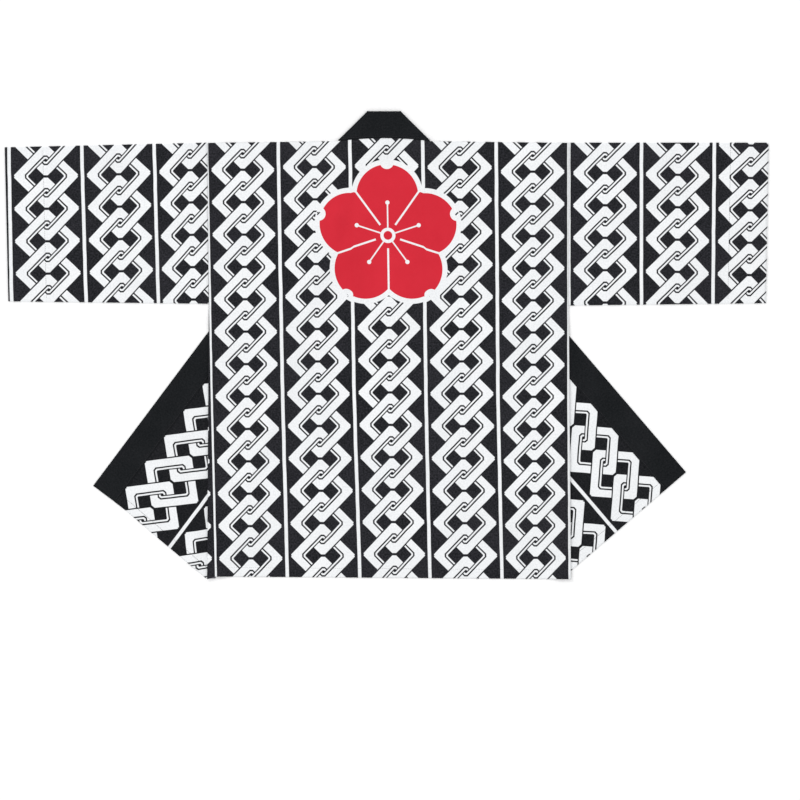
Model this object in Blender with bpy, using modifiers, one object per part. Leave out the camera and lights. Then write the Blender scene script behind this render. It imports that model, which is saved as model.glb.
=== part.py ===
"""Hanten, a straight-cut jacket of printed cotton, laid flat with its back up.

Metres. X runs across the garment, Y from the hem to the collar, and Z is up from the surface
that it lies on. "Left" is the wearer's left, at -X. Each front lies under the back and turns
under once more along a slanting fold, so that its collar edge comes out beside the body.
"""

import math
from collections import namedtuple

import bmesh
import bpy
import numpy as np
from mathutils import Vector
from mathutils.geometry import delaunay_2d_cdt

# Cloth
PANEL_WALL = 0.0010
COLLAR_WALL = 0.0014  # the band is doubled
GAP = 0.0003  # between pieces at a seam, and between layers

# Body, from the middle of the whole garment
SHOULDER_Y = 0.3458
NECK_CORNER_Y = 0.3486
NECKLINE_RISE = 0.0051  # how far the neckline bows up between its corners
UNDERARM_Y = 0.0601

# Collar
COLLAR_TOP_Y = 0.3996
COLLAR_WIDTH_NECK = COLLAR_TOP_Y - NECK_CORNER_Y
COLLAR_WIDTH_FRONT = 0.0475

# How the body, one front and one sleeve lie on each side
Side = namedtuple(
    "Side",
    "name out shoulder_x underarm_x hem_x back_hem_y front_hem_y corner_y collar_edge_x turn_y "
    "turn_degrees cuff_top_x cuff_bottom_x cuff_top_y cuff_bottom_y sleeve_bottom_y sagging_hem",
)
LEFT = Side(
    name="left",
    out=-1,
    shoulder_x=-0.3065,
    underarm_x=-0.3041,
    hem_x=-0.3069,
    back_hem_y=-0.3956,
    front_hem_y=-0.3964,
    corner_y=-0.4000,
    collar_edge_x=-0.0332,
    turn_y=0.3860,
    turn_degrees=18.4,
    cuff_top_x=-0.6529,
    cuff_bottom_x=-0.6467,
    cuff_top_y=0.3379,
    cuff_bottom_y=0.0754,
    sleeve_bottom_y=0.0712,
    sagging_hem=((-0.1000, -0.3967), (-0.1750, -0.4017), (-0.2844, -0.4076), (-0.2942, -0.3985)),
)
RIGHT = Side(
    name="right",
    out=1,
    shoulder_x=0.3122,
    underarm_x=0.3114,
    hem_x=0.3151,
    back_hem_y=-0.4000,
    front_hem_y=-0.3976,
    corner_y=-0.4000,
    collar_edge_x=0.0241,
    turn_y=0.3519,
    turn_degrees=20.3,
    cuff_top_x=0.6532,
    cuff_bottom_x=0.6483,
    cuff_top_y=0.3458,
    cuff_bottom_y=0.0723,
    sleeve_bottom_y=0.0682,
    sagging_hem=(),
)
SIDES = (LEFT, RIGHT)
CORNER_WIDTH = 0.0132  # stretch of the back's hem that slopes to its corner
CORNER_INSET = 0.0005  # a front's lower corner lies this far inside the back's

# Where a layer comes down off the edge of what lies under it
CLEAR_OF_EDGE = 0.0005
CLEAR_OF_FOLD = 0.0025
UPPER_MARGIN = 0.0015  # each layer starts down this much further out than the one below
RAMP = 0.0130
NECK_BAR = 0.0150  # the stretch of back below the neckline that the collar holds up

# Fineness
POINT_SPACING = 0.060
SPARE_ROOM = 0.010  # least distance from a grid point to a crease
LEAST_TRIANGLE = 1e-8  # square metres
FOLD_SEGMENTS = 6
NECKLINE_SEGMENTS = 10
SLEEVE_STATIONS = 7
SLEEVE_ROWS = 5

# Levels of the middle of each wall
FLARE_LIFT = COLLAR_WALL + GAP  # what a front's turned-under part lifts the layer above by
FRONT_LIFT = PANEL_WALL + GAP
NECK_LIFT = 2 * (COLLAR_WALL + GAP)
TURN_RADIUS = FLARE_LIFT / 2

PRINTED = (0.30, 0.30, 0.32)
BLACK = (0.016, 0.015, 0.018)


def collar_seam_x(side, width):
    """X of the seam between a front and the collar, before the front is turned under."""
    return side.collar_edge_x + side.out * width


def fold_line(side):
    """A front's slanting fold: its start, its direction, and the way its bulge points."""
    angle = math.radians(side.turn_degrees)
    start = np.array((side.collar_edge_x, side.turn_y))
    along = np.array((side.out * math.sin(angle), -math.cos(angle)))
    bulge = np.array((-side.out * math.cos(angle), -math.sin(angle)))
    return start, along, bulge


def past_fold(side, points):
    """Signed distance past a front's fold, on the bulge's side."""
    start, _, bulge = fold_line(side)
    return (np.asarray(points) - start) @ bulge


def turned_under(side, points):
    """Points of the unfolded front, mirrored across its fold."""
    _, _, bulge = fold_line(side)
    points = np.asarray(points, float)
    return points - 2 * past_fold(side, points)[..., None] * bulge


def past_free_edge(side, points):
    """Signed distance past the turned-under free edge of the collar, away from the cloth."""
    start, along, bulge = fold_line(side)
    straight_down = np.array((0.0, -1.0))
    edge = straight_down - 2 * (straight_down @ bulge) * bulge
    outward = np.array((-edge[1], edge[0]))
    outward = outward if outward @ along < 0 else -outward
    return (np.asarray(points) - start) @ outward


def at_x(side, x):
    """The point of a front's fold that lies at x."""
    start, along, _ = fold_line(side)
    return start + along * (x - start[0]) / along[0]


def ramp(distance, level, start):
    """The level up to the start, down to nothing one ramp further out."""
    return level * np.clip(1 - (distance - start) / RAMP, 0, 1)


def neckline(inset):
    """The bowed seam of the back neck, moved towards the hem by the inset."""
    left, right = (collar_seam_x(s, COLLAR_WIDTH_NECK) for s in SIDES)
    x = np.linspace(left, right, NECKLINE_SEGMENTS + 1)
    bow = 1 - ((x - (left + right) / 2) / ((right - left) / 2)) ** 2
    return np.column_stack((x, NECK_CORNER_Y + NECKLINE_RISE * bow - inset))


def spaced(corners, spacing=POINT_SPACING):
    """A closed outline with points added along its long edges."""
    points = []
    for a, b in zip(corners, corners[1:] + corners[:1], strict=True):
        a, b = np.asarray(a, float), np.asarray(b, float)
        steps = max(1, round(float(np.hypot(*(b - a))) / spacing))
        points += [a + (b - a) * i / steps for i in range(steps)]
    return points


def spaced_line(a, b, spacing=POINT_SPACING):
    """Points from a to b, both included."""
    steps = max(1, round(float(np.hypot(*(np.asarray(b) - a))) / spacing))
    return list(np.linspace(a, b, steps + 1))


def inside(outline, points):
    """Which points the outline holds, by counting the edges to their right."""
    a = np.asarray(outline)
    b = np.roll(a, -1, axis=0)
    x, y = np.asarray(points).T[:, :, None]
    crosses = (a[:, 1] > y) != (b[:, 1] > y)
    rise = np.where(b[:, 1] == a[:, 1], 1, b[:, 1] - a[:, 1])
    crossing_x = a[:, 0] + (y - a[:, 1]) / rise * (b[:, 0] - a[:, 0])
    return (crosses & (x < crossing_x)).sum(axis=1) % 2 == 1


def distance_to(line, points):
    """Distance of points from a straight line through two points."""
    a, b = (np.asarray(p, float) for p in line)
    normal = np.array((a[1] - b[1], b[0] - a[0])) / np.hypot(*(b - a))
    return np.abs((points - a) @ normal)


def cut(outline, creases=(), spacing=POINT_SPACING):
    """Triangles of a flat panel, with an edge along each crease and a loose grid between."""
    low, high = np.min(outline, axis=0), np.max(outline, axis=0)
    steps = np.maximum(1, np.round((high - low) / spacing)).astype(int)
    axes = [np.linspace(low[i], high[i], steps[i] + 1)[1:-1] for i in (0, 1)]
    grid = np.array(np.meshgrid(*axes)).reshape(2, -1).T
    rim = list(zip(outline, outline[1:] + outline[:1], strict=True))
    for a, b in rim:
        along = np.clip(((grid - a) @ (b - a)) / ((b - a) @ (b - a)), 0, 1)
        nearest = a + along[:, None] * (b - a)
        grid = grid[np.hypot(*(grid - nearest).T) > SPARE_ROOM]
    for line in creases:
        grid = grid[distance_to(line, grid) > SPARE_ROOM]
    grid = grid[inside(outline, grid)] if len(grid) else grid
    points = [*outline, *(p for line in creases for p in line), *grid]
    count = len(outline)
    edges = [(i, (i + 1) % count) for i in range(count)]
    edges += [(count + 2 * i, count + 2 * i + 1) for i in range(len(creases))]
    made = delaunay_2d_cdt([Vector(p) for p in points], edges, [], 0, 1e-6, True)
    flat = np.array([tuple(p) for p in made[0]])
    faces = np.array(made[2])
    a, b, c = np.moveaxis(flat[faces], 1, 0)
    area = np.abs((b - a)[:, 0] * (c - a)[:, 1] - (b - a)[:, 1] * (c - a)[:, 0]) / 2
    return flat, faces[inside(outline, flat[faces].mean(axis=1)) & (area > LEAST_TRIANGLE)]


class Cloth:
    """One piece of cloth, gathered from flat and turned stretches whose edges meet."""

    def __init__(self):
        self.points = []
        self.faces = []

    def add(self, points, faces):
        first = len(self.points)
        self.points += [tuple(p) for p in points]
        self.faces += [tuple(int(i) + first for i in face) for face in faces]

    def lay(self, flat, faces, height):
        """Lays a flat stretch, with its middle at the height given, one for all or for each."""
        used = np.unique(faces)
        place = np.zeros(len(flat), int)
        place[used] = np.arange(len(used))
        heights = np.broadcast_to(height, len(flat))[used]
        self.add(np.column_stack((flat[used], heights)), place[faces])

    def turn(self, stations, bulge, low):
        """Half a round from the lower to the upper layer, along the stations of a fold."""
        angles = np.linspace(0, math.pi, FOLD_SEGMENTS + 1)
        out = TURN_RADIUS * np.sin(angles)
        up = low + TURN_RADIUS * (1 - np.cos(angles))
        rows = [np.column_stack((s + out[:, None] * bulge, up)) for s in stations]
        self.add(np.concatenate(rows), grid_faces(len(stations), FOLD_SEGMENTS + 1))

    def finish(self, name, wall, colour):
        """The welded surface, thickened evenly to both sides."""
        mesh = bpy.data.meshes.new(name)
        mesh.from_pydata(self.points, [], self.faces)
        shape = bmesh.new()
        shape.from_mesh(mesh)
        bmesh.ops.remove_doubles(shape, verts=shape.verts, dist=1e-5)
        bmesh.ops.recalc_face_normals(shape, faces=shape.faces)
        shape.to_mesh(mesh)
        shape.free()
        piece = bpy.data.objects.new(name, mesh)
        thicken = piece.modifiers.new("wall", "SOLIDIFY")
        thicken.thickness = wall
        thicken.offset = 0
        thicken.use_even_offset = True
        mesh.materials.append(cloth_material(name, colour))
        return piece


def grid_faces(rows, columns):
    """Four-sided faces of a grid of points, row by row."""
    corner = (np.arange(rows - 1)[:, None] * columns + np.arange(columns - 1)).ravel()
    return np.column_stack((corner, corner + columns, corner + columns + 1, corner + 1))


def cloth_material(name, colour):
    material = bpy.data.materials.new(f"{name}_cotton")
    material.use_nodes = True
    surface = material.node_tree.nodes["Principled BSDF"]
    surface.inputs["Base Color"].default_value = (*colour, 1)
    surface.inputs["Roughness"].default_value = 0.85
    surface.inputs["Metallic"].default_value = 0.0
    return material


def body_side(side, inset, corner_y):
    """A side edge from shoulder to hem, moved in from the seam line by the inset."""
    x = -side.out * inset
    return [
        np.array((side.shoulder_x + x, SHOULDER_Y)),
        np.array((side.underarm_x + x, UNDERARM_Y)),
        np.array((side.hem_x + x, corner_y)),
    ]


def front_height(side, points):
    """Height of a front's first layer over its turned-under part."""
    return ramp(past_free_edge(side, points), FLARE_LIFT, CLEAR_OF_EDGE)


def back_height(points):
    """Height of the back over the fronts, their folds and the collar."""
    x, y = np.asarray(points).T
    levels = []
    inner = []
    for side in SIDES:
        beyond_fold = ramp(past_fold(side, points), 1, CLEAR_OF_FOLD)
        edge_start = CLEAR_OF_EDGE + UPPER_MARGIN
        over_flare = ramp(past_free_edge(side, points), FLARE_LIFT, edge_start)
        levels.append((FRONT_LIFT + over_flare) * beyond_fold)
        seam = collar_seam_x(side, COLLAR_WIDTH_NECK)
        over_collar = ramp(side.out * (x - seam), 1, CLEAR_OF_EDGE + UPPER_MARGIN)
        levels.append(NECK_LIFT * over_collar * beyond_fold)
        inner.append(over_collar)
    bar = ramp(NECK_CORNER_Y - NECK_BAR - y, NECK_LIFT, 0)
    levels.append(bar * inner[0] * inner[1])
    return np.max(levels, axis=0)


def across(point, direction, reach=1.5):
    """A straight crease through a point, long enough to cross the whole garment."""
    return (point - reach * direction, point + reach * direction)


def free_edge_creases(side, start):
    """The two lines between which a layer comes down past the turned-under free edge."""
    angle = 2 * math.radians(side.turn_degrees)
    direction = np.array((side.out * math.sin(angle), -math.cos(angle)))
    outward = np.array((side.out * math.cos(angle), math.sin(angle)))
    corner = fold_line(side)[0]
    return [across(corner + outward * d, direction) for d in (start, start + RAMP)]


def make_back():
    """One panel under the neckline, stepping down over the folds that lie below it."""
    left, right = (body_side(side, GAP / 2, side.corner_y) for side in SIDES)
    hem = [np.array((s.hem_x - s.out * CORNER_WIDTH, s.back_hem_y)) for s in reversed(SIDES)]
    corners = [left[0], *neckline(GAP / 2), *right, *hem, *reversed(left[1:])]
    creases = []
    for side in SIDES:
        start, along, bulge = fold_line(side)
        creases += [
            across(start + bulge * d, along) for d in (CLEAR_OF_FOLD, CLEAR_OF_FOLD + RAMP)
        ]
        margin = CLEAR_OF_EDGE + UPPER_MARGIN
        creases += free_edge_creases(side, margin)
        seam = collar_seam_x(side, COLLAR_WIDTH_NECK)
        upright = np.array((0.0, 1.0))
        creases += [
            across(np.array((seam + side.out * d, 0)), upright) for d in (margin, margin + RAMP)
        ]
    level = np.array((1.0, 0.0))
    bar_y = NECK_CORNER_Y - NECK_BAR
    creases += [across(np.array((0, y)), level) for y in (bar_y, bar_y - RAMP)]
    flat, faces = cut(spaced(corners), creases)
    cloth = Cloth()
    cloth.lay(flat, faces, back_height(flat) + PANEL_WALL / 2)
    return cloth.finish("back", PANEL_WALL, PRINTED)


def make_front(side):
    """One panel, cut flat and then turned under along its slanting fold."""
    edge = body_side(side, GAP / 2, side.corner_y + CORNER_INSET)
    seam_neck = collar_seam_x(side, COLLAR_WIDTH_NECK + GAP / 2)
    seam_front = collar_seam_x(side, COLLAR_WIDTH_FRONT + GAP / 2)
    crossing = at_x(side, seam_front)
    corners = [
        edge[0],
        np.array((seam_neck, NECK_CORNER_Y)),
        crossing,
        np.array((seam_front, side.front_hem_y)),
        *map(np.array, side.sagging_hem),
        edge[2],
        edge[1],
    ]
    fold = across(*fold_line(side)[:2])
    flat, faces = cut(spaced(corners), [fold, *free_edge_creases(side, CLEAR_OF_EDGE)])
    turned = past_fold(side, flat[faces].mean(axis=1)) > 0
    cloth = Cloth()
    cloth.lay(flat, faces[~turned], front_height(side, flat) + PANEL_WALL / 2)
    cloth.lay(turned_under(side, flat), faces[turned], PANEL_WALL / 2)
    shared = np.intersect1d(faces[~turned], faces[turned])
    stations = sorted((tuple(p) for p in flat[shared]), key=lambda p: p[1])
    cloth.turn(np.array(stations), fold_line(side)[2], PANEL_WALL / 2)
    return cloth.finish(f"front_{side.name}", PANEL_WALL, PRINTED)


def make_sleeve(side):
    """A flattened tube: an upper and a lower layer, round at the shoulder and underarm."""
    turn = (PANEL_WALL + GAP) / 2
    angles = np.linspace(0, math.pi, FOLD_SEGMENTS + 1)
    rings = []
    for t in np.linspace(0, 1, SLEEVE_STATIONS):
        top = SHOULDER_Y + t * (side.cuff_top_y - SHOULDER_Y) - turn
        bottom = side.sleeve_bottom_y + t * (side.cuff_bottom_y - side.sleeve_bottom_y) + turn
        down = np.linspace(top, bottom, SLEEVE_ROWS + 1)
        below, above = bottom - turn * np.sin(angles), top + turn * np.sin(angles)
        y = np.concatenate((down, below[1:-1], down[::-1], above[1:-1]))
        falling, rising = turn + turn * np.cos(angles), turn - turn * np.cos(angles)
        upper, lower = np.full(SLEEVE_ROWS + 1, 2 * turn), np.zeros(SLEEVE_ROWS + 1)
        z = np.concatenate((upper, falling[1:-1], lower, rising[1:-1]))
        share = (SHOULDER_Y - y) / (SHOULDER_Y - side.sleeve_bottom_y)
        armhole = side.shoulder_x + share * (side.underarm_x - side.shoulder_x)
        cuff = side.cuff_top_x + share * (side.cuff_bottom_x - side.cuff_top_x)
        x = armhole + side.out * GAP / 2 + t * (cuff - armhole - side.out * GAP / 2)
        rings.append(np.column_stack((x, y, z + PANEL_WALL / 2)))
    count = len(rings[0])
    closed = [np.vstack((ring, ring[:1])) for ring in rings]
    cloth = Cloth()
    cloth.add(np.concatenate(closed), grid_faces(len(rings), count + 1))
    return cloth.finish(f"sleeve_{side.name}", PANEL_WALL, PRINTED)


def make_collar():
    """The whole band: a mitred stretch at the neck, two short hidden ones, two down the fronts."""
    cloth = Cloth()
    shift = (TURN_RADIUS + COLLAR_WALL / 2) * math.sqrt(2)
    low, middle, high = (COLLAR_WALL / 2 + i * FLARE_LIFT for i in range(3))
    seam_curve = neckline(-GAP / 2)
    mitres = []
    for side in SIDES:
        start, along, bulge = fold_line(side)
        seam_front = collar_seam_x(side, COLLAR_WIDTH_FRONT - GAP / 2)
        fold = np.linspace(start, at_x(side, seam_front), 3)
        seam_neck = collar_seam_x(side, COLLAR_WIDTH_NECK) - side.out * shift
        free_neck = side.collar_edge_x - side.out * shift
        seam_y = np.interp(seam_neck, *seam_curve.T)
        mitre = np.linspace((seam_neck, seam_y), (free_neck, COLLAR_TOP_Y), 3)
        mitres.append(mitre)
        ends = [
            np.array((seam_front, side.front_hem_y)),
            np.array((side.collar_edge_x, side.front_hem_y)),
        ]
        down_seam = spaced_line(fold[-1], ends[0])
        down_edge = spaced_line(ends[1], fold[0])
        outline = [*fold[:-1], *down_seam, *down_edge[:-1]]
        flat, faces = cut(outline)
        cloth.lay(turned_under(side, flat), faces, low)
        flat, faces = cut([*fold, *mitre])
        cloth.lay(flat, faces, middle)
        cloth.turn(fold, bulge, low)
        corner = np.array((side.out, 1.0)) / math.sqrt(2)
        cloth.turn(mitre, corner, middle)
    between = (seam_curve[:, 0] > mitres[0][0][0]) & (seam_curve[:, 0] < mitres[1][0][0])
    outline = [*mitres[0][::-1], *seam_curve[between], *mitres[1]]
    flat, faces = cut(outline)
    cloth.lay(flat, faces, high)
    return cloth.finish("collar", COLLAR_WALL, BLACK)


def build():
    for thing in list(bpy.data.objects):
        bpy.data.objects.remove(thing)
    collection = bpy.data.collections.new("hanten")
    bpy.context.scene.collection.children.link(collection)
    pieces = [make_back(), *map(make_front, SIDES), *map(make_sleeve, SIDES), make_collar()]
    for piece in pieces:
        collection.objects.link(piece)


build()
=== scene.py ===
import math

import bmesh
import bpy
import numpy as np
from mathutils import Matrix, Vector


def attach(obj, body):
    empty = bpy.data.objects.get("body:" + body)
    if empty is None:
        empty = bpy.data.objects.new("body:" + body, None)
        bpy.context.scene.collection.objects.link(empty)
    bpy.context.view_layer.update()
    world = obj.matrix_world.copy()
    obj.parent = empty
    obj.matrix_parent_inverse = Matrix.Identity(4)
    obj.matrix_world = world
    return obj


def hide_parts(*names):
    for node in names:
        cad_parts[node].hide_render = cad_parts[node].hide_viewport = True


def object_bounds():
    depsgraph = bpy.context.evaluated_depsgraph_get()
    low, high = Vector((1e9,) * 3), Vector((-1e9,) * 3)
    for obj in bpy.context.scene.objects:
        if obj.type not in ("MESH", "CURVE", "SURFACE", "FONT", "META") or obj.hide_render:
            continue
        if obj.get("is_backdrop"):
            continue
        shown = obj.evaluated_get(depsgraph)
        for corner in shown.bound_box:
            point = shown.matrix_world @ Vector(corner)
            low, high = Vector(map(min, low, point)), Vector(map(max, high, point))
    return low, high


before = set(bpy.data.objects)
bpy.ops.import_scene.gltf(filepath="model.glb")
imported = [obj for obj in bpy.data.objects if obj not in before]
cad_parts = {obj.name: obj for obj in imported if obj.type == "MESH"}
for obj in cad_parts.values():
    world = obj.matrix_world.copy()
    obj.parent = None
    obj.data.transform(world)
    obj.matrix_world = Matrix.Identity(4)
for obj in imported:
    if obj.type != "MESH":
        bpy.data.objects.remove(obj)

cad_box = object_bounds()

# Table and camera
# The garment lies on a plain white table and is seen from straight above, as a catalogue shot
# on white is. The camera looks a little below the garment's middle.

VIEW_WIDTH = 1.3684
CAMERA_HEIGHT = 3.8
CAMERA_X, CAMERA_Y = 0.0228, -0.0938
SENSOR = 36.0

camera = bpy.data.objects.new("camera", bpy.data.cameras.new("camera"))
camera.data.sensor_width = SENSOR
camera.data.lens = SENSOR * CAMERA_HEIGHT / VIEW_WIDTH
camera.data.clip_end = 50
camera.location = (CAMERA_X, CAMERA_Y, CAMERA_HEIGHT)
bpy.context.scene.collection.objects.link(camera)
bpy.context.scene.camera = camera
bpy.context.scene.view_settings.view_transform = "Standard"

sky = bpy.data.worlds.new("studio")
sky.use_nodes = True
sky.node_tree.nodes["Background"].inputs["Color"].default_value = (1.0, 1.0, 1.0, 1)
sky.node_tree.nodes["Background"].inputs["Strength"].default_value = 0.96
bpy.context.scene.world = sky

lamp = bpy.data.lights.new("softbox", "AREA")
lamp.shape = "RECTANGLE"
lamp.size = 3.0
lamp.size_y = 2.0
lamp.energy = 280.0
softbox = bpy.data.objects.new("softbox", lamp)
softbox.location = (-6.0, 7.2, 6.4)
softbox.rotation_euler = (math.radians(-48), math.radians(-33), 0)
bpy.context.scene.collection.objects.link(softbox)


class Wire:
    """A shader socket. Arithmetic on it adds Math nodes to its material."""

    def __init__(self, tree, socket):
        self.tree = tree
        self.socket = socket

    def node(self, kind, settings=None, inputs=None, output=0):
        made = self.tree.nodes.new(kind)
        for name, value in (settings or {}).items():
            setattr(made, name, value)
        for name, value in (inputs or {}).items():
            if isinstance(value, Wire):
                self.tree.links.new(value.socket, made.inputs[name])
            else:
                made.inputs[name].default_value = value
        return Wire(self.tree, made.outputs[output])

    def math(self, operation, *others):
        values = dict(enumerate((self, *others)))
        return self.node("ShaderNodeMath", {"operation": operation}, values)

    def __add__(self, other):
        return self.math("ADD", other)

    __radd__ = __add__

    def __mul__(self, other):
        return self.math("MULTIPLY", other)

    __rmul__ = __mul__

    def __sub__(self, other):
        return self.math("SUBTRACT", other)

    def __rsub__(self, other):
        return (self * -1.0) + other

    def above(self, edge, soft):
        """0 below the edge and 1 above it, over a soft width."""
        ends = {"Value": self, "From Min": edge - soft / 2, "From Max": edge + soft / 2}
        return self.node("ShaderNodeMapRange", {"clamp": True}, ends)

    def between(self, low, high, soft):
        return self.above(low, soft) * (1 - self.above(high, soft))

    def pick(self, first, second):
        """The first value where this mask is 0, the second where it is 1."""
        return first + (second - first) * self

    def noise(self, scale, detail=2.0, roughness=0.5):
        inputs = {"Vector": self, "Scale": scale, "Detail": detail, "Roughness": roughness}
        return self.node("ShaderNodeTexNoise", None, inputs)

    def blend(self, first, second):
        """Two colours mixed by this mask."""
        first, second = (c if isinstance(c, Wire) else (*c, 1) for c in (first, second))
        return self.node("ShaderNodeMixRGB", None, {"Fac": self, "Color1": first, "Color2": second})


def new_material(name):
    """A material, its surface shader, and a Wire that starts its node tree."""
    material = bpy.data.materials.new(name)
    material.use_nodes = True
    tree = material.node_tree
    surface = tree.nodes["Principled BSDF"]
    return material, surface, Wire(tree, None)


def drive(surface, **links):
    """Links wires to the sockets of a surface shader that may vary over it."""
    for name, wire in links.items():
        wire.tree.links.new(wire.socket, surface.inputs[name.replace("_", " ")])


table_material, surface, start = new_material("table_white")
surface.inputs["Roughness"].default_value = 0.9
surface.inputs["Specular IOR Level"].default_value = 0.0
place = start.node("ShaderNodeTexCoord", None, None, "Object")
grain = place.noise(180.0, 3.0)
drive(surface, Base_Color=grain.above(0.5, 1.0).blend((0.965, 0.965, 0.968), (0.99, 0.99, 0.992)))
TABLE_HALF = 6.0
plane = bpy.data.meshes.new("table")
around = ((-1, -1), (1, -1), (1, 1), (-1, 1))
plane.from_pydata([(TABLE_HALF * x, TABLE_HALF * y, 0) for x, y in around], [], [(0, 1, 2, 3)])
plane.materials.append(table_material)
table = bpy.data.objects.new("table", plane)
bpy.context.scene.collection.objects.link(table)
table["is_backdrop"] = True

# Back
# One panel of plain-weave cotton, printed in black so that white chain columns and stripes
# stay bare, with a red blossom over-printed between the shoulders. Its hem is turned up and
# topstitched, and it lies over both fronts and the collar.

CLOTH_WALL = 0.0009
PANEL_WALL = 0.0010
COLLAR_WALL = 0.0014
GAP = 0.0003
FLARE_LIFT = COLLAR_WALL + GAP
FRONT_LIFT = PANEL_WALL + GAP
NECK_LIFT = 2 * FLARE_LIFT

SHOULDER_Y, UNDERARM_Y = 0.3458, 0.0601
NECK_CORNER_Y, NECKLINE_RISE = 0.3486, 0.0051
COLLAR_TOP_Y = 0.3996
COLLAR_WIDTH_NECK = COLLAR_TOP_Y - NECK_CORNER_Y
COLLAR_WIDTH_FRONT = 0.0475
GRID = 0.005

SIDES = {
    "left": {
        "out": -1,
        "shoulder_x": -0.3065,
        "underarm_x": -0.3041,
        "hem_x": -0.3069,
        "back_hem_y": -0.3956,
        "front_hem_y": -0.3964,
        "corner_y": -0.4000,
        "collar_edge_x": -0.0332,
        "turn_y": 0.3860,
        "turn_degrees": 18.4,
        "sagging_hem": (
            (-0.1000, -0.3967),
            (-0.1750, -0.4017),
            (-0.2844, -0.4076),
            (-0.2942, -0.3985),
        ),
        "front_stripes": (0.0393, 0.1677, 0.2870),
        "front_rows": (-0.3105, -0.3134),
    },
    "right": {
        "out": 1,
        "shoulder_x": 0.3122,
        "underarm_x": 0.3114,
        "hem_x": 0.3151,
        "back_hem_y": -0.4000,
        "front_hem_y": -0.3976,
        "corner_y": -0.4000,
        "collar_edge_x": 0.0241,
        "turn_y": 0.3519,
        "turn_degrees": 20.3,
        "sagging_hem": (),
        "front_stripes": (0.0328, 0.1573, 0.2818),
        "front_rows": (-0.3215, -0.3215),
    },
}
# How long a stretch of the back's hem slopes to its corner, and how far inside that corner the
# front's own lies
CORNER_WIDTH, CORNER_INSET = 0.0132, 0.0005

# Soft creases: each a low ridge of cloth, by its middle, direction, half-length, half-width
# and height. Each wavers a little along its length.
WAVER, WAVER_TURNS, WAVER_SHIFT = 0.35, 2.2, 20
CREASES = np.array(
    [
        # x, y, degrees, half_length, half_width, height
        (-0.215, 0.215, -62, 0.120, 0.016, 0.0016),
        (-0.120, 0.080, -80, 0.170, 0.020, 0.0012),
        (0.020, -0.060, 86, 0.200, 0.022, 0.0011),
        (0.150, 0.060, 74, 0.160, 0.018, 0.0014),
        (0.235, 0.190, 58, 0.120, 0.015, 0.0017),
        (-0.210, -0.220, 82, 0.150, 0.018, 0.0013),
        (-0.060, -0.270, -84, 0.110, 0.020, 0.0010),
        (0.110, -0.250, 80, 0.130, 0.017, 0.0012),
        (0.250, -0.170, -82, 0.150, 0.019, 0.0013),
        (0.060, 0.290, 12, 0.090, 0.012, 0.0008),
        (-0.420, 0.240, -12, 0.110, 0.014, 0.0015),
        (-0.540, 0.150, 24, 0.080, 0.013, 0.0012),
        (-0.400, 0.120, 10, 0.090, 0.012, 0.0014),
        (0.410, 0.250, 14, 0.100, 0.014, 0.0015),
        (0.560, 0.170, -20, 0.090, 0.013, 0.0013),
        (0.400, 0.110, -8, 0.085, 0.012, 0.0014),
        (-0.370, -0.180, 52, 0.090, 0.012, 0.0009),
        (0.400, -0.150, -48, 0.090, 0.012, 0.0009),
        (-0.325, -0.225, 86, 0.045, 0.007, 0.0016),
        (-0.330, -0.350, 78, 0.050, 0.008, 0.0018),
        (0.332, -0.260, -84, 0.060, 0.008, 0.0015),
    ]
)


def creased(x, y):
    """Height of the soft creases: each is a bell across its line, fading out at its ends."""
    cx, cy, degrees, half_length, half_width, height = CREASES.T
    turn = np.radians(degrees)
    dx, dy = x[..., None] - cx, y[..., None] - cy
    along = dx * np.cos(turn) + dy * np.sin(turn)
    bend = WAVER * half_width * np.sin(along / half_length * WAVER_TURNS + cx * WAVER_SHIFT)
    across = -dx * np.sin(turn) + dy * np.cos(turn) - bend
    bell = np.exp(-((across / half_width) ** 2)) * np.exp(-((along / half_length) ** 4))
    return (height * bell).sum(axis=-1)


def smooth(value):
    """0 to 1 with soft ends."""
    value = np.clip(value, 0, 1)
    return value * value * (3 - 2 * value)


def fold_of(side):
    """A front's slanting fold: its start, direction and the way its bulge points."""
    angle = math.radians(side["turn_degrees"])
    begin = np.array((side["collar_edge_x"], side["turn_y"]))
    along = np.array((side["out"] * math.sin(angle), -math.cos(angle)))
    bulge = np.array((-side["out"] * math.cos(angle), -math.sin(angle)))
    return begin, along, bulge


def past_fold(side, x, y):
    begin, _, bulge = fold_of(side)
    return (x - begin[0]) * bulge[0] + (y - begin[1]) * bulge[1]


def past_free_edge(side, x, y):
    """Distance past the turned-under free edge of the collar, away from the cloth."""
    begin, _, _ = fold_of(side)
    angle = 2 * math.radians(side["turn_degrees"])
    outward = (side["out"] * math.cos(angle), math.sin(angle))
    return (x - begin[0]) * outward[0] + (y - begin[1]) * outward[1]


def seam_x(side, width):
    return side["collar_edge_x"] + side["out"] * width


def neckline_y(x):
    """The bowed neck seam: a parabola between the neck corners."""
    left, right = (seam_x(s, COLLAR_WIDTH_NECK) for s in SIDES.values())
    share = (x - (left + right) / 2) / ((right - left) / 2)
    return NECK_CORNER_Y + NECKLINE_RISE * np.clip(1 - share**2, 0, 1)


def side_edge_x(side, y, inset=0.0):
    """X of the body's side edge at a height on the garment."""
    heights = (side["corner_y"], UNDERARM_Y, SHOULDER_Y)
    x = np.interp(y, heights, (side["hem_x"], side["underarm_x"], side["shoulder_x"]))
    return x - side["out"] * inset


# Where a layer starts down off a fold and off an edge below it, and how long its slope is
PAST_FOLD, PAST_EDGE, BACK_RAMP = 0.0025, 0.0020, 0.0260
# The stretch of back below the neckline that the collar holds up
NECK_BAR = 0.0150


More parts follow.
